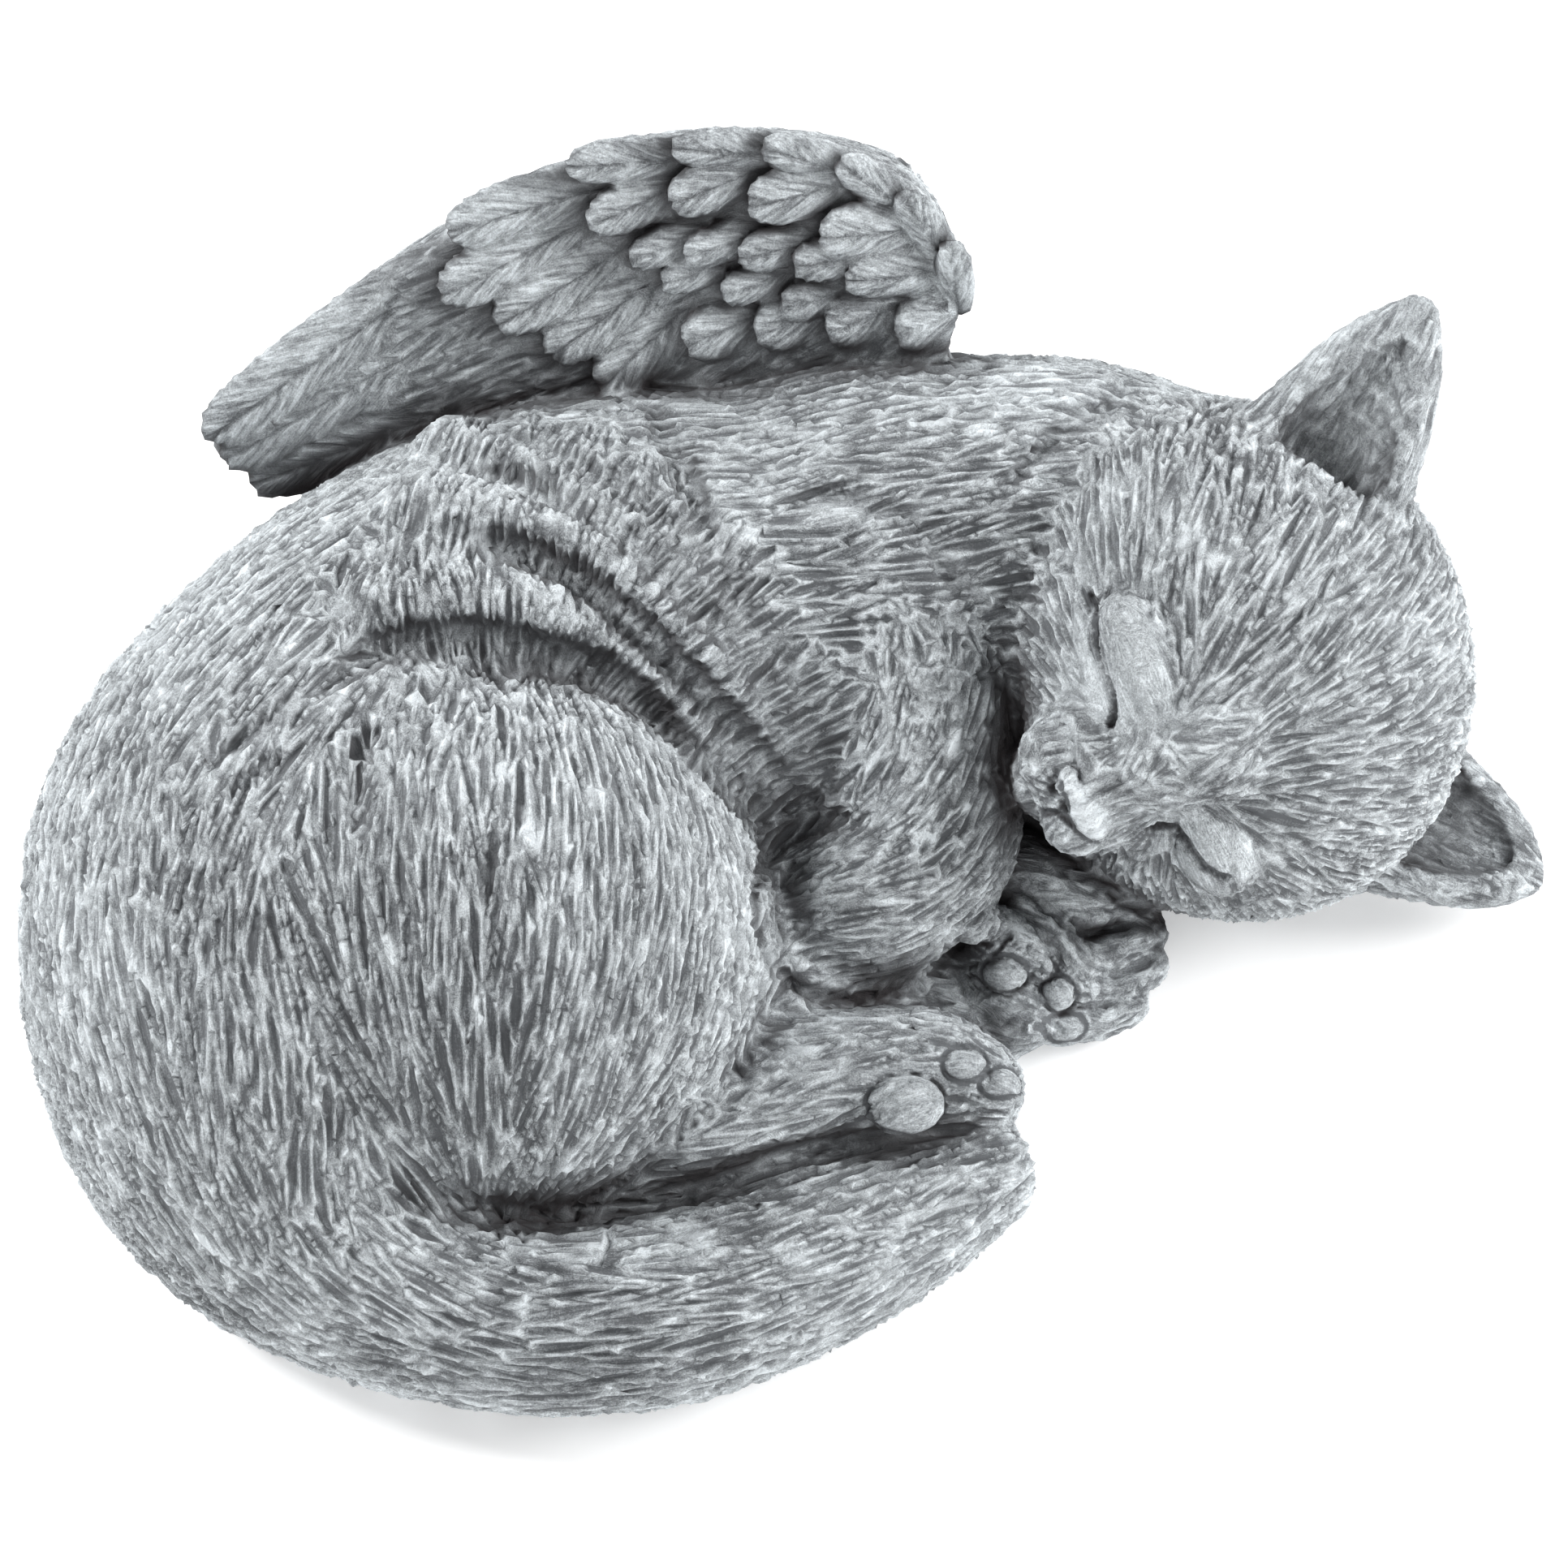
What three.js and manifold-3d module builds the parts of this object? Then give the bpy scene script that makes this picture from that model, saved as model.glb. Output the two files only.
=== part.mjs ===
// Sleeping angel cat: one solid casting of a curled cat with one feathered wing raised on its back.
// Millimetres, +Z up, flat underside on z = 0, the origin in the middle of its bounding rectangle.
// The cat's tail lies towards -Y, its head towards +X, and the wing stands on the back at +Y.
import * as THREE from "three";
import { mergeVertices } from "three/addons/utils/BufferGeometryUtils.js";
import Module from "manifold-3d";

const wasm = await Module();
wasm.setup();
const { Manifold, Mesh } = wasm;

// Driving sizes.
const FUR_TUFT = 0.8; // relief of the fur on the body
const HEAD_TUFT = 0.6; // relief of the fur behind the face
const BASE_DEPTH = 60; // thickness of the block that trims the underside
const HEAD_CENTRE = [71, 25, 38];
const HEAD_RADII = [38, 43, 39.5]; // towards the nose, an ear and the crown
const HEAD_COLUMNS = 36; // facets of the head around the nose, and back from it
const HEAD_ROWS = 21;
const NOSE_WAY = [-0.52, -0.8, 0.3];
const EAR_WAY = [-0.36, 0.56, 0.745];
const EAR_BASE_RADIUS = 16;
const EAR_SQUASH = 0.5; // thickness of an ear over its width
const WING_LEAN = 60; // degrees from the ground
const WING_FOOT = [-10, 62, 60]; // where the wing's own axes start, on the cat's back
const WING_DEPTH = 12; // thickness of the wing behind its feathers
const FEATHER_TILT = 9; // degrees each feather rises towards its tip
const FEATHER_THICKNESS = 3; // half thickness of a feather at its middle

const vec = (p) => new THREE.Vector3(p[0], p[1], p[2]);
const rad = THREE.MathUtils.degToRad;

// Axes as a matrix from three unit vectors and an origin.
function frame(x, y, z, origin) {
  return new THREE.Matrix4().makeBasis(x, y, z).setPosition(origin);
}

// A geometry as a closed solid.
function solid(geometry) {
  const bare = new THREE.BufferGeometry();
  bare.setAttribute("position", geometry.getAttribute("position").clone());
  if (geometry.index) bare.setIndex(geometry.index.clone());
  const one = mergeVertices(bare, 1e-4);
  const index = one.index.array;
  const at = one.getAttribute("position").array;
  const kept = [];
  for (let i = 0; i < index.length; i += 3) {
    const [a, b, c] = [index[i], index[i + 1], index[i + 2]];
    if (a !== b && b !== c && a !== c) kept.push(a, b, c);
  }
  return new Manifold(
    new Mesh({
      numProp: 3,
      vertProperties: new Float32Array(at),
      triVerts: new Uint32Array(kept),
    }),
  );
}

// Alternating tufts over a grid of columns and rows, fading out at both ends.
function tuft(column, row, rows, size) {
  const fade = Math.sin((Math.PI * row) / rows);
  const side = (column + Math.floor(row / 4)) % 2 ? 1 : -1;
  return size * fade * side;
}

// An ellipsoid whose pole lies along its own first axis, with tufts running away from the pole.
function ball(centre, radii, axes, columns, rows, size = 0) {
  const shape = new THREE.SphereGeometry(1, columns, rows);
  const at = shape.getAttribute("position");
  for (let i = 0; i < at.count; i++) {
    const column = (i % (columns + 1)) % columns;
    const row = Math.floor(i / (columns + 1));
    const grow = 1 + tuft(column, row, rows, size) / radii[1];
    const p = new THREE.Vector3().fromBufferAttribute(at, i);
    at.setXYZ(i, p.y * radii[0] * grow, p.z * radii[1] * grow, p.x * radii[2] * grow);
  }
  shape.applyMatrix4(frame(axes[0], axes[1], axes[2], vec(centre)));
  return solid(shape);
}

const X = new THREE.Vector3(1, 0, 0);
const Y = new THREE.Vector3(0, 1, 0);
const Z = new THREE.Vector3(0, 0, 1);
const PLAIN = [X, Y, Z];

// A round limb through rows of centre and radius, with half-round ends and tufts along it.
function limbShape(rows, rings, sides, size = 0, caps = 3) {
  const path = new THREE.CatmullRomCurve3(rows.map(vec), false, "catmullrom", 0.5);
  const radii = new THREE.SplineCurve(rows.map((r, i) => new THREE.Vector2(i, r[3])));
  const frames = path.computeFrenetFrames(rings, false);
  const levels = rings + 2 * caps;
  const shape = new THREE.SphereGeometry(1, sides, levels);
  const at = shape.getAttribute("position");
  for (let i = 0; i < at.count; i++) {
    const column = (i % (sides + 1)) % sides;
    const row = Math.floor(i / (sides + 1));
    const ring = THREE.MathUtils.clamp(row - caps, 0, rings);
    const before = Math.max(caps - row, 0) / caps;
    const after = Math.max(row - caps - rings, 0) / caps;
    const turn = ((before || after) * Math.PI) / 2;
    const t = path.getUtoTmapping(ring / rings);
    const radius = radii.getPoint(t).y;
    const wide = radius * Math.cos(turn) + (turn ? 0 : tuft(column, row, levels, size));
    const along = radius * Math.sin(turn) * (before ? -1 : 1);
    const angle = (2 * Math.PI * column) / sides;
    const p = path.getPoint(t);
    p.addScaledVector(frames.tangents[ring], along);
    p.addScaledVector(frames.normals[ring], row % levels ? wide * Math.cos(angle) : 0);
    p.addScaledVector(frames.binormals[ring], row % levels ? wide * Math.sin(angle) : 0);
    at.setXYZ(i, p.x, p.y, p.z);
  }
  return shape;
}

// The same shape with its faces turned round.
function turned(shape) {
  const index = shape.index.array;
  for (let i = 0; i < index.length; i += 3) {
    [index[i], index[i + 1]] = [index[i + 1], index[i]];
  }
  return shape;
}

// A shape as a solid whose faces point outwards.
function outward(shape) {
  const made = solid(shape);
  return made.volume() < 0 ? solid(turned(shape)) : made;
}

function limb(...sizes) {
  return outward(limbShape(...sizes));
}

// The spine: the neck, the back, the rump and the tail in one tapering curl.
const spine = limb(
  [
    [66, 41, 43, 25.5],
    [44, 46, 44, 28],
    [20, 42, 38, 33],
    [-4, 37, 36, 35],
    [-32, 35, 36, 35.5],
    [-60, 20, 35, 36],
    [-81.5, -10, 33, 37.2],
    [-82, -39, 25, 34.5],
    [-74, -63, 17, 23],
    [-49, -78.5, 13.5, 16],
    [-21, -79, 13, 15.6],
    [4.3, -70, 12.5, 14.2],
    [22, -60, 12, 11.5],
    [30, -54.5, 11, 9.4],
  ],
  37,
  18,
  FUR_TUFT,
);

// The haunch, its fur drawn together where it meets the tail.
const gather = vec([0, -0.96, -0.28]);
const haunch = ball([-46, -24, 29.5], [45, 45, 45], [gather, X, gather.clone().cross(X)], 40, 12, FUR_TUFT);


// The belly and the ground between the legs, mostly hidden under the curl.
const belly = [
  ball([-24, -12, 10], [48, 48, 30], PLAIN, 12, 6),
  ball([14, -12, 4], [30, 26, 15], PLAIN, 12, 6),
  ball([-26, -46, 6], [44, 28, 16], PLAIN, 12, 6),
];

const shoulder = ball([17.6, 42, 47], [25, 20, 20], PLAIN, 18, 9, FUR_TUFT);

// Rolls of skin across the flank: each follows one curve and ends in the waist.
const ROLLS = [
  [[-62, 14, 66], [-36, 15, 63.5], [-17, 6.5, 51], [-4, 0, 33]],
  [[-56, 33, 65.5], [-31, 26, 66.5], [-13.5, 13, 59], [-1, 3, 42]],
  [[-52, 47, 61.5], [-25, 35, 66.5], [-9.5, 19.5, 62], [2, 5.5, 47]],
];
const ROLL_RADIUS = 8.4;
const rolls = ROLLS.map((path, i) => {
  const rows = path.map((p, j) => [...p, ROLL_RADIUS - 0.5 * i - 0.4 * j]);
  return limb(rows, 7, 9, 0, 2);
});

// The foreleg: down from the shoulder to the elbow, and back along the ground to the folded wrist.
const foreleg = limb(
  [
    [15, 36, 46, 17],
    [20.5, 17, 42, 17],
    [22, 5, 36, 15.8],
    [22.5, -4.5, 30, 14.4],
    [15.3, -13, 28, 13.4],
    [10.5, -15.5, 27, 13],
  ],
  9,
  14,
  FUR_TUFT / 2,
);

// The hind foot, its sole to the front: a heel pad and two toe pads.
const hindFoot = [
  limb(
    [
      [-14, -50, 20, 14],
      [4, -45, 21.5, 12],
      [20, -41.5, 20.5, 10.6],
      [29, -43, 18.5, 8.6],
    ],
    6,
    12,
    FUR_TUFT / 2,
    2,
  ),
  ball([18.3, -51.4, 28], [6.2, 4.6, 3.6], PLAIN, 10, 6),
  ball([27.8, -45, 27.4], [3.6, 3, 2.8], PLAIN, 7, 4),
  ball([33.4, -46, 24], [3.2, 2.6, 2.8], PLAIN, 7, 4),
];

// The front paws under the chin: one folded with its toes to the right, one with its pads up.
const frontPaws = [
  limb([[24, 0, 16, 10], [37, -2.3, 15, 9], [47.6, -4.3, 14, 7.5]], 3, 10, 0, 2),
  limb([[46, -14.5, 8.5, 5], [50.2, -13.2, 9, 4.4], [58.2, -8.6, 9, 3.6]], 3, 8, 0, 2),
  limb([[46, -18, 6, 4.6], [50.2, -17.5, 6, 4.2], [58.7, -13.5, 7, 3.4]], 3, 8, 0, 2),
  limb([[46, -21, 4, 4], [50.2, -21.2, 4, 3.8], [56.1, -19.3, 4, 2.8]], 3, 8, 0, 2),
  ball([40, -9, 6], [15, 13, 8], PLAIN, 12, 6),
  ball([34.9, -14.6, 15], [7.4, 7.4, 6.8], PLAIN, 12, 7),
  limb([[38, -8, 14, 5.8], [41, -11, 13.4, 5.6], [44.1, -16.7, 11, 5.2]], 3, 10, 0, 2),
  ball([36, -21.2, 17.6], [3.8, 3.2, 3], PLAIN, 7, 4),
  ball([43.5, -22, 12.6], [2.8, 2.6, 2.8], PLAIN, 7, 4),
  ball([44.3, -23.6, 6], [4.8, 3.4, 3.6], PLAIN, 7, 4),
  ball([36, -23, 8], [8, 6, 7], PLAIN, 10, 6),
];

// The head's own axes: towards the nose, towards the upper ear, and up over the crown.
const earWay = vec(EAR_WAY).normalize();
const noseWay = vec(NOSE_WAY);
noseWay.addScaledVector(earWay, -noseWay.dot(earWay)).normalize();
const crownWay = new THREE.Vector3().crossVectors(earWay, noseWay);
const headFrame = frame(noseWay, earWay, crownWay, vec(HEAD_CENTRE));

// The lumps of the head along its own axes: centre, radii and how softly each runs into the rest.
const LUMPS = [
  [[0, 0, 0], HEAD_RADII, 1],
  [[34, 0, -4], [13, 12, 10], 12],
  [[42, 5, -6], [6, 6.2, 5.2], 3],
  [[42, -5, -6], [6, 6.2, 5.2], 3],
  [[38, 0, -13], [6, 6.5, 4.5], 3],
  [[31, 0, 16], [8, 8, 8], 8],
  [[36, 0, 8], [7, 7, 7], 6],
  [[42, 0, 1], [5, 5, 5], 4],
  [[31, 16, 9], [6.5, 10, 6.5], 3],
  [[31, -16, 9], [6.5, 10, 6.5], 3],
  [[47, 0, -0.4], [2, 5.6, 2], 1],
];

// How far a point lies outside one lump.
function outside(p, centre, radii) {
  const q = p.map((x, i) => (x - centre[i]) / radii[i]);
  const near = Math.hypot(...q);
  return (near * (near - 1)) / Math.hypot(...q.map((x, i) => x / radii[i]));
}

// How far a point lies outside the head, its lumps run together.
function outsideHead(p) {
  let far = Infinity;
  for (const [centre, radii, soft] of LUMPS) {
    const next = outside(p, centre, radii);
    const h = Math.max(soft - Math.abs(far - next), 0) / soft;
    far = Math.min(far, next) - (h * h * h * soft) / 6;
  }
  return far;
}

// The distance from a start along a way at which the head's surface lies, coming from outside.
function reach(start, way) {
  const at = (r) => outsideHead(start.map((x, i) => x + way[i] * r));
  let outer = 70;
  while (at(outer) > 0 && outer > 0.5) outer -= 0.5;
  let inner = outer;
  outer += 0.5;
  for (let i = 0; i < 12; i++) {
    const middle = (inner + outer) / 2;
    if (at(middle) > 0) outer = middle;
    else inner = middle;
  }
  return outer;
}

// The head is a globe with its pole at the nose, drawn in to the surface of the lumps.
const skull = new THREE.SphereGeometry(1, HEAD_COLUMNS, HEAD_ROWS);
const skin = skull.getAttribute("position");
for (let i = 0; i < skin.count; i++) {
  const column = (i % (HEAD_COLUMNS + 1)) % HEAD_COLUMNS;
  const row = Math.floor(i / (HEAD_COLUMNS + 1));
  const down = Math.PI * (row / HEAD_ROWS) ** 1.35;
  const round = (2 * Math.PI * column) / HEAD_COLUMNS;
  const wide = row % HEAD_ROWS ? Math.sin(down) : 0;
  const way = [Math.cos(down), wide * Math.cos(round), wide * Math.sin(round)];
  const tufted = THREE.MathUtils.smoothstep(down, 0.9, 1.3) * tuft(column, row, HEAD_ROWS, HEAD_TUFT);
  const r = reach([0, 0, 0], way) + tufted;
  skin.setXYZ(i, way[0] * r, way[1] * r, way[2] * r);
}
const head = outward(skull.applyMatrix4(headFrame));

// A closed eye: a fine slit under the lid, from the nose side outwards.
const EYE = [[8, 4.6], [13, 4.6], [20, 4], [26, 4.4]];
const eyes = [1, -1].map((side) => {
  const path = EYE.map(([e, c]) => [reach([0, side * e, c], [1, 0, 0]), side * e, c, 1.1]);
  return outward(limbShape(path, 6, 6, 0, 1).applyMatrix4(headFrame));
});

// An ear: a flattened cone from its base to its tip, hollowed on the side that faces the front.
function ear(base, tip, front) {
  const along = tip.clone().sub(base);
  const length = along.length();
  along.normalize();
  const facing = front.clone().addScaledVector(along, -front.dot(along)).normalize();
  const across = new THREE.Vector3().crossVectors(facing, along);
  const at = frame(along, across, facing.clone().multiplyScalar(EAR_SQUASH), base);
  const r = EAR_BASE_RADIUS;
  const rows = [[-6, 0, 0, r], [0.45 * length, 0, 0, 0.66 * r], [length - 2, 0, 0, 2]];
  const hollow = [[2, 0, 10, 0.62 * r], [0.45 * length, 0, 8.4, 0.42 * r], [length - 6, 0, 5.6, 1.2]];
  return [rows, hollow].map((path) => outward(limbShape(path, 5, 12, 0, 2).applyMatrix4(at)));
}
const inHead = (n, e, c) => new THREE.Vector3(n, e, c).applyMatrix4(headFrame);
const upperTip = inHead(-27.5, 45.3, 41.3);
const [upperEar, upperHollow] = ear(inHead(-11.5, 27.3, 24.3), upperTip, vec([0, -0.545, 0.839]));
const [lowerEar, lowerHollow] = ear(vec([101, 9.6, 17]), vec([123.4, 2.2, 7]), vec([0.1, -0.35, 0.93]));

// The wing's own axes: along the back, up the lean, and out towards the cat's belly.
const lean = rad(WING_LEAN);
const upWing = new THREE.Vector3(0, Math.cos(lean), Math.sin(lean));
const wingFrame = frame(X, upWing, new THREE.Vector3().crossVectors(X, upWing), vec(WING_FOOT));

// The wing's outline, from the root over the leading edge to the tip and back along the cat's back.
const OUTLINE = [
  [36, 6],
  [38, 18],
  [35, 28],
  [29, 36],
  [19, 40],
  [6, 41.5],
  [-15, 39.5],
  [-43, 26],
  [-63, 11.5],
  [-78, -3],
  [-82, -9],
  [-77, -14],
  [-62, -15],
  [-20, -10],
  [15, -8],
];
const WING_EDGE = 2;
const outline = new THREE.SplineCurve([...OUTLINE, OUTLINE[0]].map(([s, t]) => new THREE.Vector2(s, t)));
const slab = new THREE.ExtrudeGeometry(new THREE.Shape(outline.getPoints(32).slice(0, -1)), {
  depth: WING_DEPTH - 2 * WING_EDGE,
  bevelThickness: WING_EDGE,
  bevelSize: WING_EDGE,
  bevelOffset: -WING_EDGE,
  bevelSegments: 1,
});
slab.translate(0, 0, 1 + WING_EDGE - WING_DEPTH).applyMatrix4(wingFrame);

// Rows of feathers: how many, three points of the curve of their tips, and the first and last
// feather's length, turn in degrees, half width and lift from the face of the wing.
const ROWS = [
  [3, [-82.6, -6], [-80.5, -9.5], [-75.6, -14.5], [52, 55], [35, 20], [5.2, 5.5], [0, -1.5]],
  [1, [-43, 29.5], [-43, 29.5], [-43, 29.5], [33, 33], [14, 14], [4.5, 4.5], [0.4, 0.4]],
  [4, [-44.4, 18.6], [-31, 11], [-19.5, 2.2], [30, 24], [26, 43], [4.6, 4.4], [1, -0.2]],
  [4, [-6, 9.7], [11, 13], [27.5, 11.6], [14.8, 9.8], [20, 12], [4.2, 3.8], [0.8, 0.6]],
  [3, [-9.8, 20.6], [0, 19], [9.3, 16.3], [14, 11.8], [14, 10], [2.8, 3], [1.3, 1.2]],
  [5, [-14.7, 24.7], [3, 27], [19.6, 21.4], [14.6, 16], [16, 0], [2.8, 3.4], [1.6, 1.6]],
  [4, [-20.9, 30.7], [-1, 40], [15.5, 28.8], [17.9, 16.6], [22, 0], [3.6, 4.3], [1.8, 2]],
  [6, [-24.2, 40.8], [19.5, 52], [37.4, 28.4], [23, 15], [0, -84], [3.2, 2.5], [1.6, 0.8]],
];
const mix = ([a, b], t) => a + (b - a) * t;
const feathers = ROWS.flatMap(([count, first, middle, last, lengths, turns, halves, lifts]) => {
  const tips = new THREE.QuadraticBezierCurve(...[first, middle, last].map((p) => new THREE.Vector2(...p)));
  return Array.from({ length: count }, (_, i) => {
    const t = count > 1 ? i / (count - 1) : 0;
    const length = mix(lengths, t);
    const shape = new THREE.SphereGeometry(1, 7, 4).rotateZ(Math.PI / 2);
    shape.scale(0.52 * length, mix(halves, t), FEATHER_THICKNESS);
    shape.rotateY(rad(FEATHER_TILT)).translate(length / 2, 0, mix(lifts, t));
    const tip = tips.getPoint(t);
    shape.rotateZ(rad(mix(turns, t ** 1.4))).translate(tip.x, tip.y, 0);
    return outward(shape.applyMatrix4(wingFrame));
  });
});

// The whole cat, its forms joined, the fine cuts made and the underside trimmed flat.
const ground = solid(new THREE.BoxGeometry(400, 400, BASE_DEPTH).translate(0, 0, -BASE_DEPTH / 2));
const joined = Manifold.union([
  spine,
  haunch,
  ...belly,
  shoulder,
  ...rolls,
  foreleg,
  ...hindFoot,
  ...frontPaws,
  head,
  upperEar,
  lowerEar,
  outward(slab),
  ...feathers,
]);
const cut = joined.subtract(Manifold.union([...eyes, upperHollow, lowerHollow, ground]));
const made = cut.getMesh();
const shape = new THREE.BufferGeometry();
shape.setAttribute("position", new THREE.BufferAttribute(made.vertProperties, 3));
shape.setIndex(new THREE.BufferAttribute(made.triVerts, 1));
shape.computeBoundingBox();
const { min, max } = shape.boundingBox;
shape.translate(-(min.x + max.x) / 2, -(min.y + max.y) / 2, 0);

const cat = new THREE.Mesh(shape, new THREE.MeshStandardMaterial({ color: 0x9aa0a0, roughness: 0.9 }));
cat.name = "angel_cat";
const group = new THREE.Group();
group.add(cat);
export default group;
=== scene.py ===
"""Sleeping angel cat in cast stone: the carved and dry-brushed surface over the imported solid."""
import math
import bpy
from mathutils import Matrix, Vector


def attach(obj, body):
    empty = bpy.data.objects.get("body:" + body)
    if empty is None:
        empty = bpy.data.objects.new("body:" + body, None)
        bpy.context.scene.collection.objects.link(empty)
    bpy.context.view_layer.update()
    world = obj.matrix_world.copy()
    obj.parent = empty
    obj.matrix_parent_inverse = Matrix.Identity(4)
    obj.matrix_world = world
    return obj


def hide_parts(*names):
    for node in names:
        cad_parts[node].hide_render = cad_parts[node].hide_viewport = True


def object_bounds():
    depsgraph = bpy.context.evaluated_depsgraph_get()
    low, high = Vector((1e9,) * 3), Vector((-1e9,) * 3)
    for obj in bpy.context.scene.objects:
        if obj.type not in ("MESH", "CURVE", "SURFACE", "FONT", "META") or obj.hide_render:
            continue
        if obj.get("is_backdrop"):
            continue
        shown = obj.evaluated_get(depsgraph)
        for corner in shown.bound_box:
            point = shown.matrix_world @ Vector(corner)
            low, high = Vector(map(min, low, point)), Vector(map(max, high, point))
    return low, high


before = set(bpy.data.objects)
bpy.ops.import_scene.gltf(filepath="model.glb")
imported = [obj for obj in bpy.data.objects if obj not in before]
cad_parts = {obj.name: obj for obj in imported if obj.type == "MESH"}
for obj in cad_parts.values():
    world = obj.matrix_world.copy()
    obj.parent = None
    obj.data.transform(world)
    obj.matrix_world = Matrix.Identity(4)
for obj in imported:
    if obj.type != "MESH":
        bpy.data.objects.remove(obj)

from concurrent.futures import ThreadPoolExecutor

import bpy
import numpy as np
import openvdb
from mathutils import Matrix, Vector

CAD_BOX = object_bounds()
SEED = 11
F = np.float32

# The forms below use the source's own millimetres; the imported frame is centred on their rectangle.
SHIFT = np.array([2.0125, -2.1506, 0.0])

# Fineness of the surface.
CELL = 1.0  # grid step of the first surface, mm
BLOCK = 8  # grid steps along a block
GROUP = 24.0  # points are worked through in cubes of this size, mm
THREADS = 4
TRIANGLES = 197000  # of the finished piece

# How far forms are asked about, mm.
FAR = 60.0  # the distance given where no form is near
BLEND_REACH = 14  # beyond a form's box and its blend
WIDE_REACH = 28  # the same, for a form whose blend changes from place to place
CARVE_REACH = 8
EAR_REACH = 18
SPAN_MARGIN = 1

# The photograph's view: right, up and back towards the camera.
VIEW_TILT = math.radians(57.0)
RIGHT = np.array([1.0, 0.0, 0.0])
UP = np.array([0.0, math.sin(VIEW_TILT), math.cos(VIEW_TILT)])
BACK = np.array([0.0, -math.cos(VIEW_TILT), math.sin(VIEW_TILT)])
VIEW_TARGET = np.array([0.0, 0.0, 40.0])
VIEW_DISTANCE = 962.76
VIEW_LENS = 140.0
SENSOR = 36
PHOTO = 1932  # the photograph's width and height in pixels
PIXEL = SENSOR / PHOTO / VIEW_LENS * VIEW_DISTANCE  # mm on the object


def unit(v):
    v = np.asarray(v, float)
    return v / np.maximum(np.linalg.norm(v, axis=-1, keepdims=True), 1e-9)


def smooth_min(a, b, soft):
    """The smaller distance, rounded off over a blend where the two are alike."""
    h = np.maximum(soft - np.abs(a - b), 0) / soft
    return np.minimum(a, b) - h * h * h * soft / 6


class Form:
    """A form: its distance in mm, the box that holds it, and the way its fur lies."""

    def __init__(self, distance, low, high, flow=None):
        self.distance, self.low, self.high, self.flow = distance, low, high, flow

    def near(self, low, high, reach):
        """Whether its box, let out by a reach, touches this one."""
        return np.all(self.low - reach < high) and np.all(self.high + reach > low)


def ball(centre, radii, axes=np.eye(3), flow=None):
    """An ellipsoid."""
    centre = np.array(centre, F)
    axes = np.asarray(axes, F)
    small = (1 / np.asarray(radii, float)).astype(F)

    def distance(p):
        q = ((p - centre) @ axes) * small
        near = np.sqrt(np.einsum("ij,ij->i", q, q))
        q *= small
        return near * (near - 1) / np.maximum(np.sqrt(np.einsum("ij,ij->i", q, q)), 1e-6)

    reach = np.sqrt(((np.asarray(axes) * radii) ** 2).sum(1))
    return Form(distance, centre - reach, centre + reach, flow)


def through(rows, count):
    """Points on a Catmull-Rom curve through rows of any width."""
    p = np.array(rows, float)
    p = np.vstack([2 * p[0] - p[1], p, 2 * p[-1] - p[-2]])
    t = np.linspace(0, len(p) - 3 - 1e-9, count)
    i = t.astype(int)
    s = (t - i)[:, None]
    a, b, c, d = p[i], p[i + 1], p[i + 2], p[i + 3]
    bend = (2 * a - 5 * b + 4 * c - d) * s**2 + (3 * b - a - 3 * c + d) * s**3
    return 0.5 * (2 * b + (c - a) * s + bend)


def limb(rows, count):
    """A round limb through rows of centre and radius; its fur lies along it."""
    line = through(rows, count)
    start, step = line[:-1, :3].astype(F), np.diff(line[:, :3], axis=0).astype(F)
    length2 = (step * step).sum(1)
    thick, grow = line[:-1, 3].astype(F), np.diff(line[:, 3]).astype(F)

    def spans(p):
        """Distances to the spans that can be nearest to these points."""
        middle = (p.min(0) + p.max(0)) / 2
        spread = np.linalg.norm(p.max(0) - middle)
        q = middle - start
        t = np.clip((q * step).sum(1) / length2, 0, 1)
        d = np.linalg.norm(q - t[:, None] * step, axis=1) - thick - grow * t
        for k in np.flatnonzero(d <= d.min() + 2 * spread + SPAN_MARGIN):
            q = p - start[k]
            t = np.clip((q @ step[k]) / length2[k], 0, 1)
            q -= t[:, None] * step[k]
            yield k, np.sqrt(np.einsum("ij,ij->i", q, q)) - thick[k] - grow[k] * t

    def distance(p):
        best = None
        for _, d in spans(p):
            best = d if best is None else np.minimum(best, d)
        return best

    ways = unit(np.gradient(line[:, :3], axis=0))

    def flow(p):
        best = np.full(len(p), np.inf)
        way = np.zeros((len(p), 3))
        for k, d in spans(p):
            closer = d < best
            best[closer] = d[closer]
            way[closer] = ways[k]
        return way

    most = line[:, 3].max()
    return Form(distance, line[:, :3].min(0) - most, line[:, :3].max(0) + most, flow)


def flattened(rows, axes, origin, squash, count):
    """A limb given in its own axes, its third axis squashed."""
    inner = limb(rows, count)
    axes, origin = np.asarray(axes, F), np.asarray(origin, F)
    stretch = np.array([1, 1, 1 / squash], F)

    def distance(p):
        return inner.distance(((p - origin) @ axes) * stretch) * squash ** 0.5

    corners = np.array(np.meshgrid(*zip(inner.low, inner.high))).reshape(3, -1).T / stretch
    world = corners @ axes.T + origin
    return Form(distance, world.min(0), world.max(0), lambda p: np.tile(axes[:, 0], (len(p), 1)))


def joined(parts, p):
    """The smooth union of forms and blends, without the forms that lie too far away to matter."""
    low, high = p.min(0), p.max(0)
    d = np.full(len(p), FAR, F)
    for form, soft in parts:
        if form.near(low, high, WIDE_REACH if callable(soft) else BLEND_REACH + soft):
            d = smooth_min(d, form.distance(p), soft(p) if callable(soft) else soft)
    return d


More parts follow.
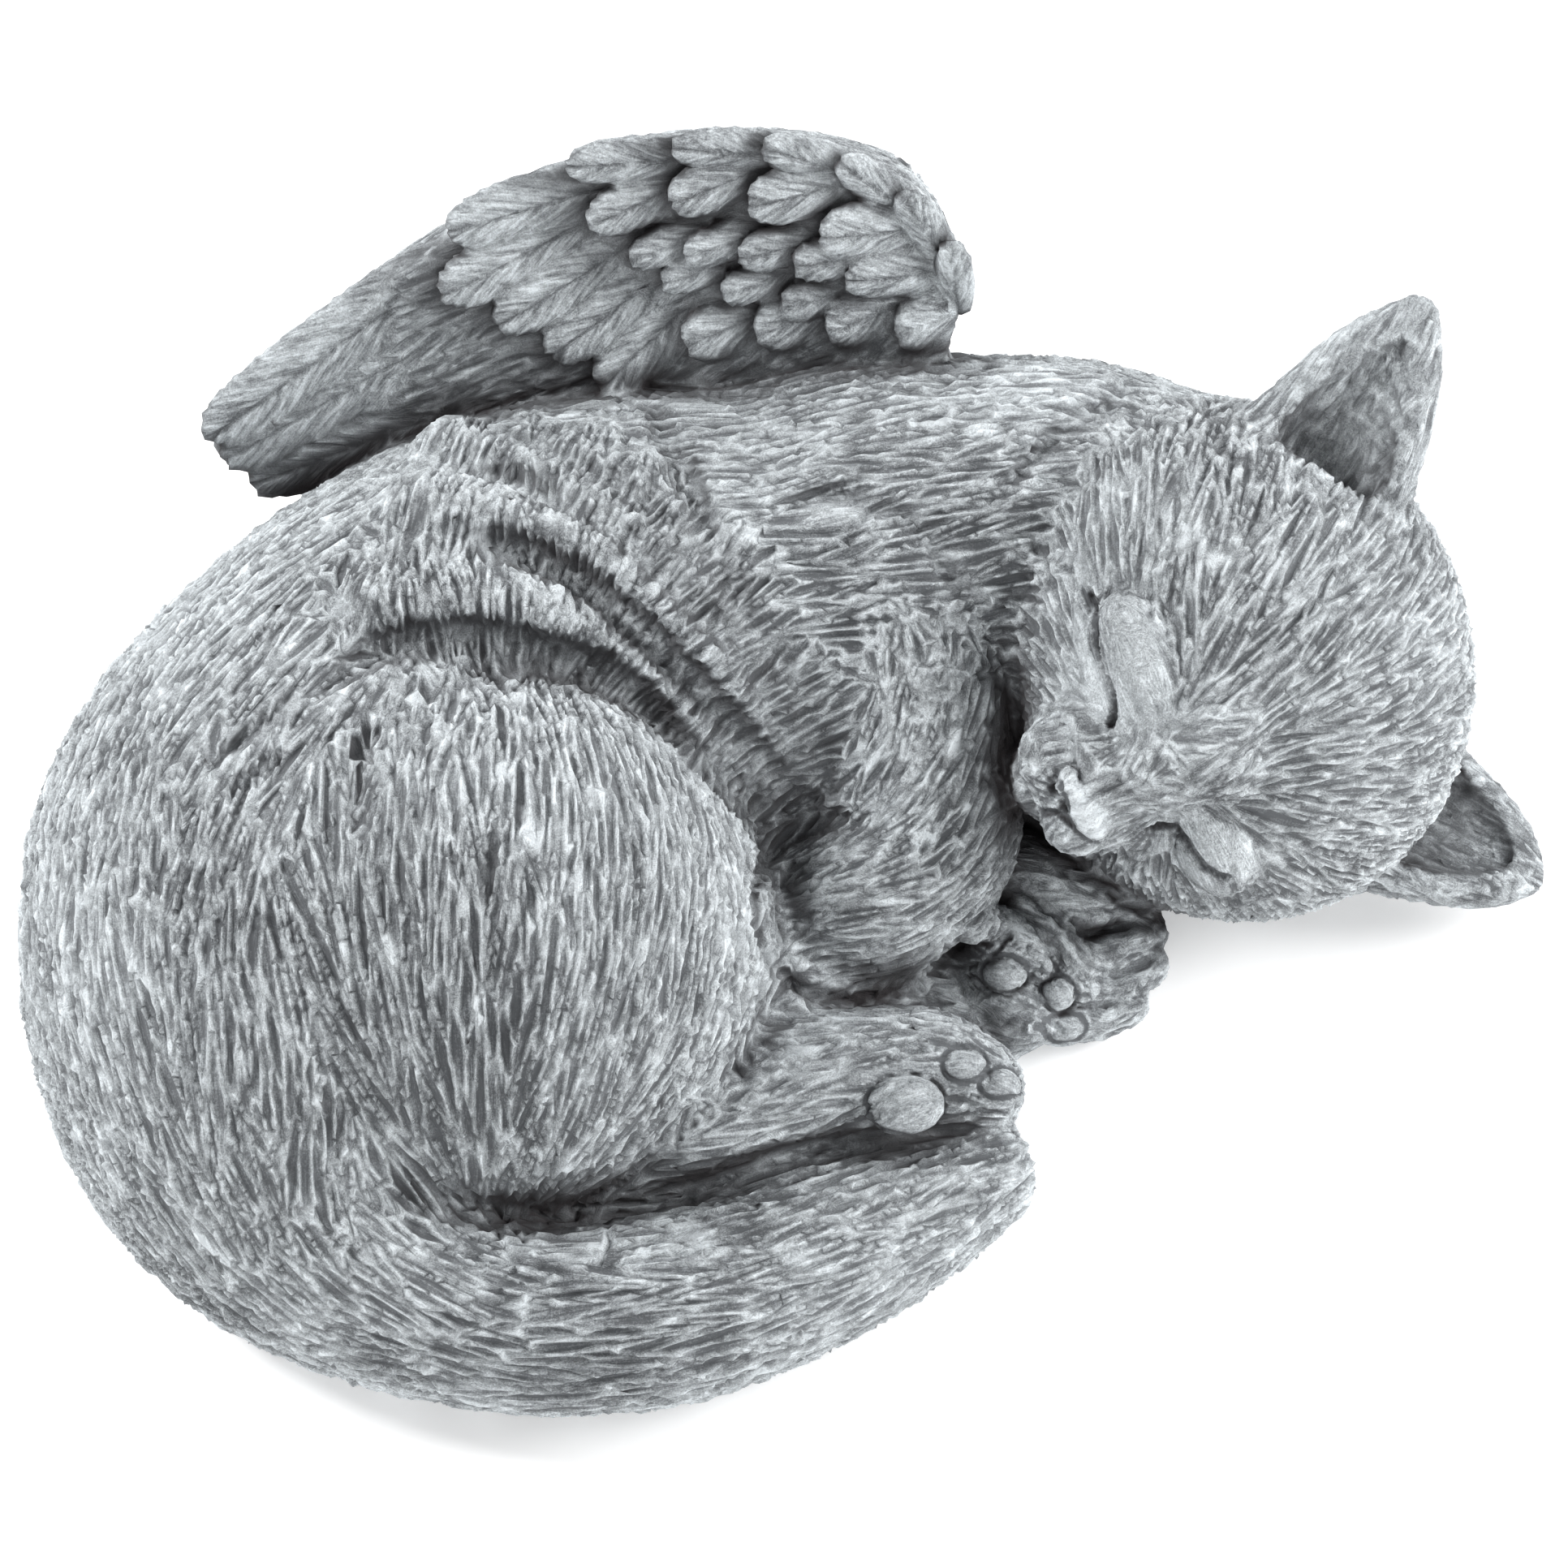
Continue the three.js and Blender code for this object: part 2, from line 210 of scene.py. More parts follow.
# Body: the spine from the neck round the back and rump to the tip of the tail.
spine = limb(
    [
        [66, 41, 43, 25.5],
        [44, 46, 44, 28],
        [20, 42, 38, 33],
        [-4, 37, 36, 35],
        [-32, 35, 36, 35.5],
        [-60, 20, 35, 36],
        [-81.5, -10, 33, 37.2],
        [-82, -39, 25, 34.5],
        [-74, -63, 17, 23],
        [-49, -78.5, 13.5, 16],
        [-21, -79, 13, 15.6],
        [4.3, -70, 12.5, 14.2],
        [22, -60, 12, 11.5],
        [30, -54.5, 11, 9.4],
    ],
    60,
)
HAUNCH = np.array([-46.0, -24.0, 29.5])
HAUNCH_RADIUS = 45
GATHER = HAUNCH + HAUNCH_RADIUS * np.array([0, -0.96, -0.28])  # where its fur runs together
haunch = ball(HAUNCH, [HAUNCH_RADIUS] * 3, flow=lambda p: GATHER - p)
belly = [
    ball([-24, -12, 10], [48, 48, 30]),
    ball([14, -12, 4], [30, 26, 15]),
    ball([-26, -46, 6], [44, 28, 16]),
]
SHOULDER = np.array([13.0, 43.5, 48.5])
ARC = np.array([24, 24, 50])  # the shoulder's fur goes round this place
shoulder = ball(SHOULDER, [30, 22.5, 22], flow=lambda p: np.cross(BACK, p - ARC))
withers = ball([14, 57, 50], [34, 16, 17])

# The bolsters of skin over the flank.
ROLLS = [
    [[-62, 14, 66], [-36, 15, 63.5], [-17, 6.5, 51], [-4, 0, 33]],
    [[-56, 33, 65.5], [-31, 26, 66.5], [-13.5, 13, 59], [-1, 3, 42]],
    [[-52, 47, 61.5], [-25, 35, 66.5], [-9.5, 19.5, 62], [2, 5.5, 47]],
]
ROLL_RADIUS = 8.4
ROLL_STEP = 0.5  # thinner from one roll to the next
ROLL_TAPER = 0.4  # thinner from one point to the next
rolls = []
for i, path in enumerate(ROLLS):
    rows = [[*p, ROLL_RADIUS - ROLL_STEP * i - ROLL_TAPER * j] for j, p in enumerate(path)]
    roll = limb(rows, 14)
    roll.flow = lambda p, along=roll.flow: np.cross(BACK, along(p))
    rolls.append(roll)


def arm_flow(p):
    """Up to the right, steeper higher up and further right: the angles are in degrees."""
    across, high = p @ RIGHT, p @ UP
    turn = np.radians(np.clip(10 + 2 * (high - 2) + 1.5 * np.maximum(across - 20, 0), 5, 72))
    return np.cos(turn)[:, None] * RIGHT + np.sin(turn)[:, None] * UP


foreleg = limb(
    [
        [15, 36, 46, 17],
        [20.5, 17, 42, 17],
        [22, 5, 36, 15.8],
        [22.5, -4.5, 30, 14.4],
        [15.3, -13, 28, 13.4],
        [10.5, -15.5, 27, 13],
    ],
    20,
)
foreleg.flow = arm_flow
breast = limb([[12, 34, 44, 16], [11.5, 18, 42, 14], [11, 6, 37, 10.5]], 8)
waist = ball([4, 2, 22], [17, 15, 20])
hind_foot = limb(
    [[-14, -50, 20, 14], [4, -45, 21.5, 12], [20, -41.5, 20.5, 10.6], [29, -43, 18.5, 8.6]], 12
)
seam = limb([[-45, -62, 16, 8], [-20, -60.5, 17, 8], [4, -57.5, 17, 7.5], [24, -51, 15, 6]], 8)


def paw_flow(p):
    return np.tile(0.85 * RIGHT - 0.4 * UP, (len(p), 1))


hind_pads = [
    ball([18.3, -51.4, 28], [6.2, 4.6, 3.6]),
    ball([27.8, -45, 27.4], [3.6, 3, 2.8]),
    ball([33.4, -46, 24], [3.2, 2.6, 2.8]),
]
paws = [
    limb([[24, 0, 16, 10], [37, -2.3, 15, 9], [47.6, -4.3, 14, 7.5]], 6),
    limb([[46, -14.5, 8.5, 5], [50.2, -13.2, 9, 4.4], [58.2, -8.6, 9, 3.6]], 5),
    limb([[46, -18, 6, 4.6], [50.2, -17.5, 6, 4.2], [58.7, -13.5, 7, 3.4]], 5),
    limb([[46, -21, 4, 4], [50.2, -21.2, 4, 3.8], [56.1, -19.3, 4, 2.8]], 5),
    ball([40, -9, 6], [15, 13, 8], flow=paw_flow),
    ball([34.9, -14.6, 15], [7.4, 7.4, 6.8], flow=paw_flow),
    ball([49, -2, 12], [9.5, 7, 8], flow=paw_flow),
    ball([42, 6.5, 13], [10, 9, 9], flow=paw_flow),
    ball([54, -6, 10], [6.5, 5.5, 6], flow=paw_flow),
    limb([[38, -8, 14, 5.8], [41, -11, 13.4, 5.6], [44.1, -16.7, 11, 5.2]], 5),
    ball([36, -23, 8], [8, 6, 7], flow=paw_flow),
]
front_pads = [
    ball([34.9, -20.8, 16.9], [3.4, 2.9, 2.7]),
    ball([43.5, -22, 12.6], [2.7, 2.4, 2.7]),
    ball([44.3, -23.6, 6], [4.8, 3.4, 3.6]),
]

# Head: lumps along the ways to the nose, to the upper ear and over the crown.
HEAD = np.array([71.0, 25.0, 38.0])
ear_way = unit([-0.36, 0.56, 0.745])
nose_way = np.array([-0.52, -0.8, 0.3])
nose_way = unit(nose_way - ear_way * (nose_way @ ear_way))
HEAD_AXES = np.stack([nose_way, ear_way, np.cross(ear_way, nose_way)], 1)


def in_head(n, e, c):
    return HEAD + HEAD_AXES @ np.array([n, e, c], float)


# Centre and radii along the head's own axes, and blend.
LUMPS = [
    [[0, 0, 0], [38, 43, 39.5], 1],
    [[34, 0, -4], [13, 12, 10], 12],
    [[42, 5, -6], [6, 6.2, 5.2], 3],
    [[42, -5, -6], [6, 6.2, 5.2], 3],
    [[38, 0, -13], [6, 6.5, 4.5], 3],
    [[31, 0, 16], [8, 8, 8], 8],
    [[36, 0, 8], [7, 7, 7], 6],
    [[42, 0, 1], [5, 5, 5], 4],
    [[31, 16, 9], [6.5, 10, 6.5], 3],
    [[31, -16, 9], [6.5, 10, 6.5], 3],
    [[47, 0, -0.4], [2, 5.6, 2], 1],
]
lumps = [(ball(in_head(*c), r, HEAD_AXES), k) for c, r, k in LUMPS]
BRIDGE = in_head(30, 0, 8)  # the head's fur fans out from here

EAR_BASE_RADIUS = 16
EAR_SQUASH = 0.5
EAR_TIP = 4.0


def ear(base, tip, front):
    """An ear and its hollow, which faces the front given."""
    length = np.linalg.norm(tip - base)
    along = (tip - base) / length
    facing = unit(front - along * (front @ along))
    axes = np.stack([along, np.cross(facing, along), facing], 1)
    r = EAR_BASE_RADIUS
    rows = [[-6, 0, 0, r], [0.45 * length, 0, 0, 0.65 * r], [length - EAR_TIP, 0, 0, EAR_TIP]]
    hollow = [[2, 0, 10, 0.6 * r], [0.42 * length, 0, 8.4, 0.38 * r], [length - 8, 0, 5.6, 1.2]]
    return [flattened(path, axes, base, EAR_SQUASH, 9) for path in (rows, hollow)]


upper_ear, upper_hollow = ear(
    in_head(-11.5, 27.3, 24.3), in_head(-27.5, 45.3, 41.3), np.array([0, -0.545, 0.839])
)
lower_ear, lower_hollow = ear(
    np.array([101, 9.6, 17]), np.array([123.4, 2.2, 7]), np.array([0.1, -0.35, 0.93])
)

# Wing: a leaning slab with an edge all round, and its feathers over the front of it.
LEAN = math.radians(60)
WING_FOOT = np.array([-10.0, 62.0, 60.0])
up_wing = np.array([0, math.cos(LEAN), math.sin(LEAN)])
WING_AXES = np.stack([RIGHT, up_wing, np.cross(RIGHT, up_wing)], 1)
WING_DEPTH = 12
WING_EDGE = 2
OUTLINE_POINTS = 64
OUTLINE = [
    [36, 6],
    [38, 18],
    [35, 28],
    [29, 36],
    [19, 40],
    [6, 41.5],
    [-15, 39.5],
    [-43, 26],
    [-63, 11.5],
    [-78, -3],
    [-82, -9],
    [-77, -14],
    [-62, -15],
    [-20, -10],
    [15, -8],
]
outline = through([*OUTLINE, OUTLINE[0]], OUTLINE_POINTS)[:-1]


def slab_distance(p):
    """From the wing's plate: its outline drawn out in depth, with a rounded edge."""
    q = (p - WING_FOOT.astype(F)) @ WING_AXES.astype(F)
    x, y = q[:, 0], q[:, 1]
    best = np.full(len(p), 1e9, F)
    inside = np.zeros(len(p), bool)
    for a, b in zip(outline, np.roll(outline, -1, 0)):
        ex, ey = b - a
        wx, wy = x - a[0], y - a[1]
        t = np.clip((wx * ex + wy * ey) / (ex * ex + ey * ey), 0, 1)
        best = np.minimum(best, (wx - ex * t) ** 2 + (wy - ey * t) ** 2)
        if ey:
            inside ^= ((a[1] <= y) != (b[1] <= y)) & (wx < ex * wy / ey)
    flat = np.where(inside, -1, 1) * np.sqrt(best) + WING_EDGE
    deep = np.abs(q[:, 2] - 1 + WING_DEPTH / 2) - WING_DEPTH / 2 + WING_EDGE
    out = np.sqrt(np.maximum(flat, 0) ** 2 + np.maximum(deep, 0) ** 2)
    return (np.minimum(np.maximum(flat, deep), 0) + out - WING_EDGE).astype(F)


slab = Form(
    slab_distance,
    WING_FOOT - [85, 20, 30],
    WING_FOOT + [42, 35, 42],
    lambda p: np.tile(-RIGHT - 0.5 * up_wing, (len(p), 1)),
)

FEATHER_THICKNESS = 1.8
FEATHER_WIDEN = 1.15
SQUARENESS = 2.7  # of a feather's outline, an ellipse being 2
# Rows of feathers: how many, a curve of three points for their tips, and from the first feather to
# the last their length, turn in degrees, half width and height over the plate.
ROWS = [
    [3, [-82.6, -6], [-80.5, -9.5], [-75.6, -14.5], [52, 55], [35, 20], [5.2, 5.5], [0, -1.5]],
    [1, [-43, 29.5], [-43, 29.5], [-43, 29.5], [33, 33], [14, 14], [4.5, 4.5], [0.4, 0.4]],
    [4, [-44.4, 18.6], [-31, 11], [-19.5, 2.2], [30, 24], [26, 43], [4.6, 4.4], [1, -0.2]],
    [4, [-6, 9.7], [11, 13], [27.5, 11.6], [14.8, 9.8], [20, 12], [4.2, 3.8], [0.8, 0.6]],
    [3, [-9.8, 20.6], [0, 19], [9.3, 16.3], [14, 11.8], [14, 10], [2.8, 3], [1.3, 1.2]],
    [5, [-14.7, 24.7], [3, 27], [19.6, 21.4], [14.6, 16], [16, 0], [2.8, 3.4], [1.6, 1.6]],
    [4, [-20.9, 30.7], [-1, 40], [15.5, 28.8], [17.9, 16.6], [22, 0], [3.6, 4.3], [1.8, 2]],
    [6, [-24.2, 40.8], [19.5, 52], [36.4, 27.6], [23, 15], [0, -84], [3.2, 2.5], [1.6, 0.6]],
]
TURN_EASE = 1.4  # of the turns along a row
TIP_LIFT = (2, 0.04)  # how far a tip stands up, mm, and what each mm of length adds
BARB_SPREAD = 0.55


def mix(pair, t):
    return pair[0] + (pair[1] - pair[0]) * t


def scale(centre, radii, axes, flow):
    """A lens with a squarish outline."""
    centre, axes = np.array(centre, F), np.asarray(axes, F)
    small = (1 / np.asarray(radii, float)).astype(F)

    def distance(p):
        q = ((p - centre) @ axes) * small
        flat = np.abs(q[:, :2]) + F(1e-4)
        high = flat ** (SQUARENESS - 1)
        ring = (high * flat).sum(1)
        wide = ring ** (2 / SQUARENESS)
        near = np.sqrt(wide + q[:, 2] ** 2)
        rim = (high * small[:2]) ** 2
        slant = rim.sum(1) * (wide / ring) ** 2 + (q[:, 2] * small[2]) ** 2
        return near * (near - 1) / np.maximum(np.sqrt(slant), 1e-6)

    reach = np.sqrt(((axes * radii) ** 2).sum(1)) * 1.15
    return Form(distance, centre - reach, centre + reach, flow)


def feather(tip, length, turn, half, lift):
    """A feather from its tip back along the wing, tilted up, its barbs fanning from the shaft."""
    tilt = math.asin((TIP_LIFT[0] + TIP_LIFT[1] * length) / (length / 2))
    way = np.array([math.cos(turn), math.sin(turn), 0])
    side = np.array([-way[1], way[0], 0])
    face = np.array([0, 0, 1.0])
    back = way * math.cos(tilt) - face * math.sin(tilt)
    out = way * math.sin(tilt) + face * math.cos(tilt)
    axes = WING_AXES @ np.stack([back, side, out], 1)
    middle = way * length / 2 + [tip[0], tip[1], lift]
    centre = WING_FOOT + WING_AXES @ middle

    def flow(p):
        q = (p - centre) @ axes
        lean = BARB_SPREAD * np.clip(q[:, 1] / (0.4 * half), -1, 1)
        return -axes[:, 0] + lean[:, None] * axes[:, 1]

    made = scale(centre, [0.52 * length, FEATHER_WIDEN * half, FEATHER_THICKNESS], axes, flow)
    made.centre, made.axes, made.radii = centre, axes, (0.52 * length, FEATHER_WIDEN * half)
    return made


feathers = []
for count, first, middle, last, lengths, turns, halves, lifts in ROWS:
    first, middle, last = map(np.array, (first, middle, last))
    for i in range(count):
        t = i / (count - 1) if count > 1 else 0
        tip = (1 - t) ** 2 * first + 2 * t * (1 - t) * middle + t * t * last
        turn = math.radians(mix(turns, t**TURN_EASE))
        feathers.append(feather(tip, mix(lengths, t), turn, mix(halves, t), mix(lifts, t)))


def haunch_soft(p):
    return np.interp(p[:, 0], [-85, -45], [26, 4]).astype(F)


def foreleg_soft(p):
    return np.interp(p[:, 1], [0, 35], [3, 14]).astype(F)


# Creases of the skin as they lie in the photograph: half width, mm, and places in its pixels.
CREASE_LIP = 3.5
CREASES = [
    [1.6, [(594, 522), (657, 540), (719, 567), (782, 607), (826, 647), (871, 692), (893, 723)]],
    [
        1.9,
        [(576, 580), (630, 589), (692, 616), (764, 652), (809, 696)]
        + [(862, 750), (916, 795), (942, 839), (975, 920), (992, 987)],
    ],
    [
        2.1,
        [(572, 656), (630, 674), (710, 714), (782, 768)]
        + [(835, 821), (884, 875), (929, 924), (983, 996)],
    ],
    [
        2.3,
        [(384, 850), (469, 799), (559, 786), (630, 790), (692, 808)]
        + [(759, 835), (826, 902), (871, 955), (929, 1031)],
    ],
    [
        1.9,
        [(804, 500), (826, 545), (862, 625), (884, 679)]
        + [(929, 768), (978, 839), (1005, 902), (1023, 973)],
    ],
    [
        1.3,
        [(961, 629), (1015, 606), (1064, 625), (1118, 636)]
        + [(1149, 667), (1175, 713), (1194, 732)],
    ],
    [1.2, [(1228, 610), (1279, 556), (1312, 525), (1350, 505), (1393, 482)]],
    [1.2, [(268, 930), (300, 905), (339, 877)]],
    [1.2, [(295, 970), (315, 952), (339, 930)]],
    [2.4, [(968, 972), (986, 992), (1002, 1010)]],
    [
        1.5,
        [(650, 1512), (740, 1498), (830, 1472), (920, 1440)]
        + [(1010, 1414), (1090, 1404), (1170, 1398)],
    ],
    [0.9, [(458, 900), (440, 945), (436, 985), (444, 1015)]],
    [0.9, [(606, 1040), (600, 1070), (606, 1120)]],
]

NOSE = [(1317, 974), (1336, 998), (1352, 1020)]

# Small raised forms: radius, how far they stand out, blend, and places in the photograph.
RAISED = [
    [1.9, 1.1, 0.8, NOSE],
    [1.1, 0.9, 0.6, [(1665, 509), (1693, 527), (1706, 550)]],
    [1.1, 0.9, 0.6, [(1693, 477), (1716, 504), (1725, 537)]],
    [1.1, 0.8, 0.6, [(1711, 431), (1729, 468), (1736, 514)]],
    [1.1, 0.8, 0.6, [(1620, 505), (1648, 474), (1668, 444)]],
    [1.5, 0.5, 1.0, [(1336, 752), (1342, 790), (1348, 822), (1357, 850)]],
    [5.0, 0.7, 3.0, [(1384, 780), (1404, 830), (1408, 865)]],
    [2.7, 1.5, 0.8, [(1196, 1140), (1235, 1138), (1266, 1158), (1283, 1190)]],
    [2.7, 1.5, 0.8, [(1258, 1118), (1298, 1146), (1326, 1182), (1336, 1216)]],
    [3.4, 1.2, 0.8, [(1340, 1180), (1372, 1172), (1398, 1158)]],
    [3.0, 1.2, 0.8, [(1345, 1216), (1376, 1210), (1404, 1196)]],
    [2.6, 1.0, 0.8, [(1346, 1248), (1372, 1244), (1394, 1236)]],
]

# Sharper creases, round the wrist and between the toes: half width and places.
FINE_LIP = 1.5
FINE_CREASES = [
    [
        1.7,
        [(1034, 1004), (1002, 1014), (968, 1030), (944, 1060)]
        + [(934, 1096), (934, 1136), (944, 1172), (968, 1202)],
    ],
    [1.3, [(944, 1172), (968, 1202), (1004, 1226), (1041, 1236), (1085, 1233), (1122, 1216)]],
    [0.8, [(1262, 1100), (1292, 1122), (1322, 1152), (1340, 1185), (1344, 1215), (1344, 1255)]],
    [0.6, [(1252, 1122), (1282, 1150), (1300, 1185), (1296, 1208)]],
    [0.7, [(1320, 1148), (1350, 1152), (1380, 1138), (1394, 1128)]],
    [0.6, [(1346, 1206), (1370, 1203), (1400, 1196), (1420, 1182)]],
    [0.6, [(1348, 1240), (1375, 1238), (1402, 1230)]],
]

# Fine lines scored into the face: half width and depth in mm, and places in the photograph.
SCORES = [
    [
        *(0.85, 1.7),
        [(1344, 734), (1353, 749), (1352, 773), (1356, 819)]
        + [(1370, 843), (1374, 866), (1370, 892)],
    ],
    [
        *(0.85, 1.7),
        [(1417, 1021), (1436, 1014), (1452, 1021), (1467, 1042)]
        + [(1479, 1060), (1495, 1074), (1511, 1080)],
    ],
    [1.2, 2.0, [(1300, 972), (1306, 984), (1313, 997)]],
    [0.8, 1.3, [(1284, 1001), (1300, 1000), (1312, 1006), (1322, 1015)]],
    [0.7, 1.0, [(1308, 966), (1315, 988), (1319, 1002), (1324, 1016), (1338, 1029), (1352, 1036)]],
]

# The pads' rims: centre and radii in the photograph, and their half width and depth in mm.
RIMS = [
    [(1238, 1198), (27, 22)],
    [(1303, 1224), (20, 22)],
    [(1310, 1265), (27, 17)],
    [(1115, 1360), (47, 35)],
    [(1187, 1311), (27, 21)],
    [(1232, 1335), (27, 17)],
]
RIM = [0.6, 0.6]

# Places without fur, the eyelids, the nose and a worn spot over the elbow: half width, how pale,
# and places.
BARE = [
    [3.4, 0.5, [(1388, 765), (1402, 820), (1408, 872)]],
    [1.6, 0.6, [(1340, 765), (1346, 820), (1356, 872)]],
    [2.8, 0.6, [(1466, 1018), (1500, 1040), (1528, 1064)]],
    [1.4, 0.55, [(1440, 1040), (1462, 1062), (1486, 1082)]],
    [2.0, 0.75, NOSE],
    [1.4, 0.6, [(1012, 636), (1045, 632), (1078, 637)]],
]

body_parts = [
    (spine, 1),
    *[(b, 6) for b in belly],
    (shoulder, 6),
    (withers, 6),
    *[(r, 2.5) for r in rolls],
    (haunch, haunch_soft),
    (hind_foot, 3),
    *[(b, 0.8) for b in hind_pads],
    (foreleg, foreleg_soft),
    (breast, 8),
    (waist, 5),
    (seam, 3),
    *[(b, 1.5) for b in paws],
    *[(b, 0.7) for b in front_pads],
]
EAR_BLEND = 4
HOLLOW_BLEND = 1.0
FEATHER_BLEND = 0.3
ear_parts = [(upper_ear, EAR_BLEND), (lower_ear, EAR_BLEND)]
feather_parts = [(b, FEATHER_BLEND) for b in feathers]


def box_of(parts):
    return np.min([f.low for f, _ in parts], 0), np.max([f.high for f, _ in parts], 0)


def carve(d, cut, soft, p):
    """A distance with a form cut out of it."""
    low, high = p.min(0), p.max(0)
    if not cut.near(low, high, CARVE_REACH):
        return d
    return -smooth_min(-d, cut.distance(p), soft)


def head_distance(p):
    d = joined(lumps, p)
    low, high = p.min(0), p.max(0)
    for part, soft in ear_parts:
        if part.near(low, high, EAR_REACH):
            d = smooth_min(d, part.distance(p), soft)
    for hollow in (upper_hollow, lower_hollow):
        d = carve(d, hollow, HOLLOW_BLEND, p)
    return d


head = Form(head_distance, *box_of(lumps + ear_parts))


def wing_distance(p):
    return np.minimum(slab.distance(p), joined(feather_parts, p))


wing = Form(wing_distance, slab.low, slab.high)
everything = [*body_parts, (head, 3), (wing, 2.5)]

EYE_POINT = VIEW_TARGET + BACK * VIEW_DISTANCE
SIGHT_START = VIEW_DISTANCE - 150
SIGHT_STEPS = 60
SIGHT_PACE = 0.8  # of the distance to the forms, at each step


def sighted(places, distance):
    """Where lines of sight through places on the photograph, in its pixels, meet the forms."""
    places = np.array(places, float)
    across = (places - PHOTO / 2) * PIXEL
    ways = unit(across[:, :1] * RIGHT - across[:, 1:] * UP - BACK * VIEW_DISTANCE)
    reach = np.full(len(places), SIGHT_START)
    for _ in range(SIGHT_STEPS):
        reach += SIGHT_PACE * distance((EYE_POINT + reach[:, None] * ways).astype(F))
    return EYE_POINT + reach[:, None] * ways


def seen_line(width, places, ends=0.3, sunk=0.2):
    """A thin limb along a line of the photograph, laid on the forms."""
    line = sighted(places, lambda p: joined(everything, p))
    last = len(line) - 1
    taper = np.interp(np.arange(len(line)), [0, 1, last - 1, last], [ends, 1, 1, ends])
    return limb(np.column_stack([line - sunk * BACK, width * taper]), 3 * len(line))


def ring(centre, radii, count=12):
    """Places round an ellipse, the first one twice."""
    turn = np.arange(count + 1) * 2 * np.pi / count
    return np.column_stack([np.cos(turn), np.sin(turn)]) * radii + centre


creases = [(seen_line(width, places), CREASE_LIP) for width, places in CREASES]
raised = [
    (seen_line(width, places, 1, width - out), soft) for width, out, soft, places in RAISED
]
everything += raised
creases += [(seen_line(width, places), FINE_LIP) for width, places in FINE_CREASES]
scores = [(seen_line(half, places, 1), half, depth) for half, depth, places in SCORES]
scores += [(seen_line(RIM[0], ring(*rim), 1), *RIM) for rim in RIMS]
bare = [(seen_line(width, places, 1), tone) for width, tone, places in BARE]


def surface(p):
    """The whole cat's distance in mm, its creases cut and its underside flat."""
    d = joined(everything, p)
    for cut, lip in creases:
        d = carve(d, cut, lip, p)
    return np.maximum(d, -p[:, 2])


def in_groups(work, p, width=1):
    """Runs work over the points cube by cube, so that only the forms nearby are asked."""
    cell = np.floor(p / GROUP).astype(np.int64)
    cell -= cell.min(0)
    key = (cell[:, 0] * 64 + cell[:, 1]) * 64 + cell[:, 2]
    order = np.argsort(key, kind="stable")
    edges = np.flatnonzero(np.diff(key[order])) + 1
    pieces = np.split(order, edges)
    out = np.empty((len(p), width) if width > 1 else len(p), F)

    def one(rows):
        out[rows] = work(p[rows])

    with ThreadPoolExecutor(THREADS) as pool:
        list(pool.map(one, pieces))
    return out


TETRA = np.array([[1, -1, -1], [-1, -1, 1], [-1, 1, -1], [1, 1, 1]], F)
PROBE = 0.12  # mm
EMPTY = 10.0  # the distance given to the grid away from the surface
SETTLE = 0.5  # the furthest that a vertex is drawn, mm


def slope(p):
    """Distance and its gradient, from four points round each one."""
    d = [surface(p + PROBE * t) for t in TETRA]
    grad = sum(t[None] * x[:, None] for t, x in zip(TETRA, d)) / (4 * PROBE)
    return np.concatenate([grad, (sum(d) / 4)[:, None]], 1)


def first_surface():
    """Vertices and quads of the smooth forms, on a grid that is only filled near the surface."""
    low = np.min([f.low for f, _ in everything], 0)
    high = np.max([f.high for f, _ in everything], 0)
    low[2] = 0
    low, high = low - 3 * CELL, high + 3 * CELL
    blocks = np.ceil((high - low) / CELL / BLOCK).astype(int)
    middle = [low[i] + CELL * (BLOCK * np.arange(blocks[i]) + (BLOCK - 1) / 2) for i in range(3)]
    centres = np.stack(np.meshgrid(*middle, indexing="ij"), -1).reshape(-1, 3).astype(F)
    coarse = in_groups(surface, centres).reshape(blocks)
    near = np.argwhere(np.abs(coarse) < CELL * BLOCK * 0.9 + 3)
    steps = np.stack(np.meshgrid(*[np.arange(BLOCK)] * 3, indexing="ij"), -1).reshape(-1, 3)
    points = (low + (near[:, None] * BLOCK + steps) * CELL).reshape(-1, 3).astype(F)
    fine = in_groups(surface, points).reshape(-1, BLOCK, BLOCK, BLOCK)
    grid = np.sign(coarse) * EMPTY
    for axis in range(3):
        grid = np.repeat(grid, BLOCK, axis)
    grid = grid.astype(F)
    for (i, j, k), values in zip(near * BLOCK, fine):
        grid[i : i + BLOCK, j : j + BLOCK, k : k + BLOCK] = values
    volume = openvdb.FloatGrid(background=EMPTY)
    volume.copyFromArray(grid)
    vertices, _, quads = volume.convertToPolygons(isovalue=0.0, adaptivity=0.0)
    return (vertices * CELL + low).astype(F), quads.astype(np.int64)


def subdivided(v, q):
    """Each quad in four."""
    corners = q.T
    ends = np.sort(np.stack([q, np.roll(q, -1, 1)], -1).reshape(-1, 2), 1)
    edges, which = np.unique(ends[:, 0] * len(v) + ends[:, 1], return_inverse=True)
    a, b = edges // len(v), edges % len(v)
    middles = (v[a] + v[b]) / 2
    centres = v[q].mean(1)
    e = which.reshape(-1, 4) + len(v)
    c = np.arange(len(q)) + len(v) + len(middles)
    quads = [np.stack([corners[i], e[:, i], c, e[:, i - 1]], 1) for i in range(4)]
    return np.concatenate([v, middles, centres]).astype(F), np.concatenate(quads)


def settled(v):
    """Vertices drawn onto the forms' surface."""
    g = in_groups(slope, v, 4)
    n = g[:, :3] / np.maximum(np.linalg.norm(g[:, :3], axis=1, keepdims=True), 1e-6)
    return v - n * np.clip(g[:, 3:], -SETTLE, SETTLE)


